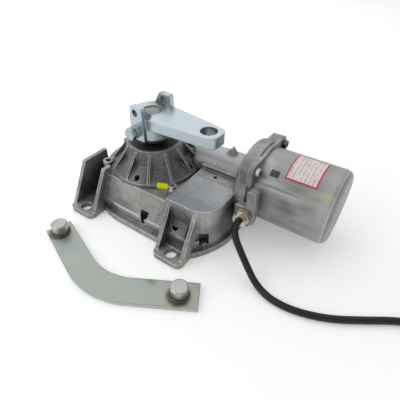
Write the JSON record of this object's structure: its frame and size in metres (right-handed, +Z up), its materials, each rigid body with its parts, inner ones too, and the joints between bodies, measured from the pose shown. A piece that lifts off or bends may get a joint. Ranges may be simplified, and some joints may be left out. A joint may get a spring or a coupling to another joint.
{
  "type": "underground gate operator",
  "caption": "Buried swing-gate operator: cast worm-gear case on gusseted feet, motor lying beside it with its lead, crank arm on top and a loose bent link bar with pins.",
  "frame": {"origin": "on the ground, under the axis of the output shaft", "axes": "+Z up along the output shaft, +X along the motor towards its closed end, front feet at -Y"},
  "size_m": [0.4995, 0.2692, 0.133],
  "materials": {
    "cast_aluminium": "raw die casting, satin",
    "motor_shell": "drawn shell, mottled satin",
    "zinc_plate": "bright zinc plate",
    "link_zinc": "dull zinc plate",
    "bright_screws": "bright zinc plate",
    "ground_steel": "ground steel",
    "wheel_bronze": "machined bronze",
    "gasket_fibre": "pressed fibre",
    "black_rubber": "matt black",
    "tie_plastic": "black nylon",
    "copper": "bare copper",
    "lamination": "stamped sheet pack",
    "gland_brass": "nickelled brass",
    "fibre_washer": "red fibre",
    "gland_zinc": "cast zinc",
    "yellow_sleeve": "soft vinyl",
    "tinned_lug": "tinned"
  },
  "bodies": {
    "housing": {"gear_case": "cast_aluminium", "base_cover": "cast_aluminium", "base_gasket": "gasket_fibre", "base_cover_screws": "bright_screws", "hub_cover": "cast_aluminium", "hub_gasket": "gasket_fibre", "hub_cover_screws": "bright_screws", "output_bearing_outers": "ground_steel", "shaft_seal": "black_rubber", "cross_bearing_outers": "ground_steel", "motor_can": "motor_shell", "motor_screws": "bright_screws", "stator_core": "lamination", "stator_windings": "copper", "motor_bearing_outers": "ground_steel", "earth_lug": "tinned_lug", "earth_sleeve": "yellow_sleeve", "earth_screw": "bright_screws", "gland_block": "gland_zinc", "gland_washer": "fibre_washer", "gland_body": "gland_brass", "gland_nut": "gland_brass", "cord_lead": "black_rubber", "cord_coil": "black_rubber", "cord_tie": "tie_plastic", "cord_cores": "copper"},
    "output": {"output_shaft": "ground_steel", "crank_key": "ground_steel", "wheel_key": "ground_steel", "main_wheel": "wheel_bronze", "output_bearing_inners": "ground_steel", "crank_arm": "zinc_plate", "stop_bolt": "bright_screws", "stop_bolt_nut": "bright_screws"},
    "cross": {"cross_shaft": "ground_steel", "first_wheel": "wheel_bronze", "wheel_spacer": "ground_steel", "cross_bearing_inners": "ground_steel"},
    "rotor": {"rotor_shaft": "ground_steel", "rotor_core": "lamination", "motor_bearing_inners": "ground_steel"},
    "link": {"link_bar": "link_zinc", "link_pins": "link_zinc"}
  },
  "joints": [
    {"name": "motor_spin", "type": "hinge", "parent": "housing", "child": "rotor", "pos_m": [0.12, 0.034, 0.054], "axis": [1, 0, 0], "range_deg": [-126720, 126720]},
    {"name": "cross_spin", "type": "hinge", "parent": "housing", "child": "cross", "pos_m": [0.066, 0, 0.03], "axis": [0, 1, 0], "range_deg": [-3960, 3960]},
    {"name": "crank_turn", "type": "hinge", "parent": "housing", "child": "output", "pos_m": [0, 0, 0], "axis": [0, 0, 1], "range_deg": [-110, 110]},
    {"name": "link_lift", "type": "slide", "parent": "housing", "child": "link", "axis": [0, 0, 1], "range_m": [0, 0.2]}
  ],
  "couplings": [
    {"joint": "cross_spin", "follows": "motor_spin", "ratio": -0.03125},
    {"joint": "crank_turn", "follows": "motor_spin", "ratio": 0.00086806}
  ]
}
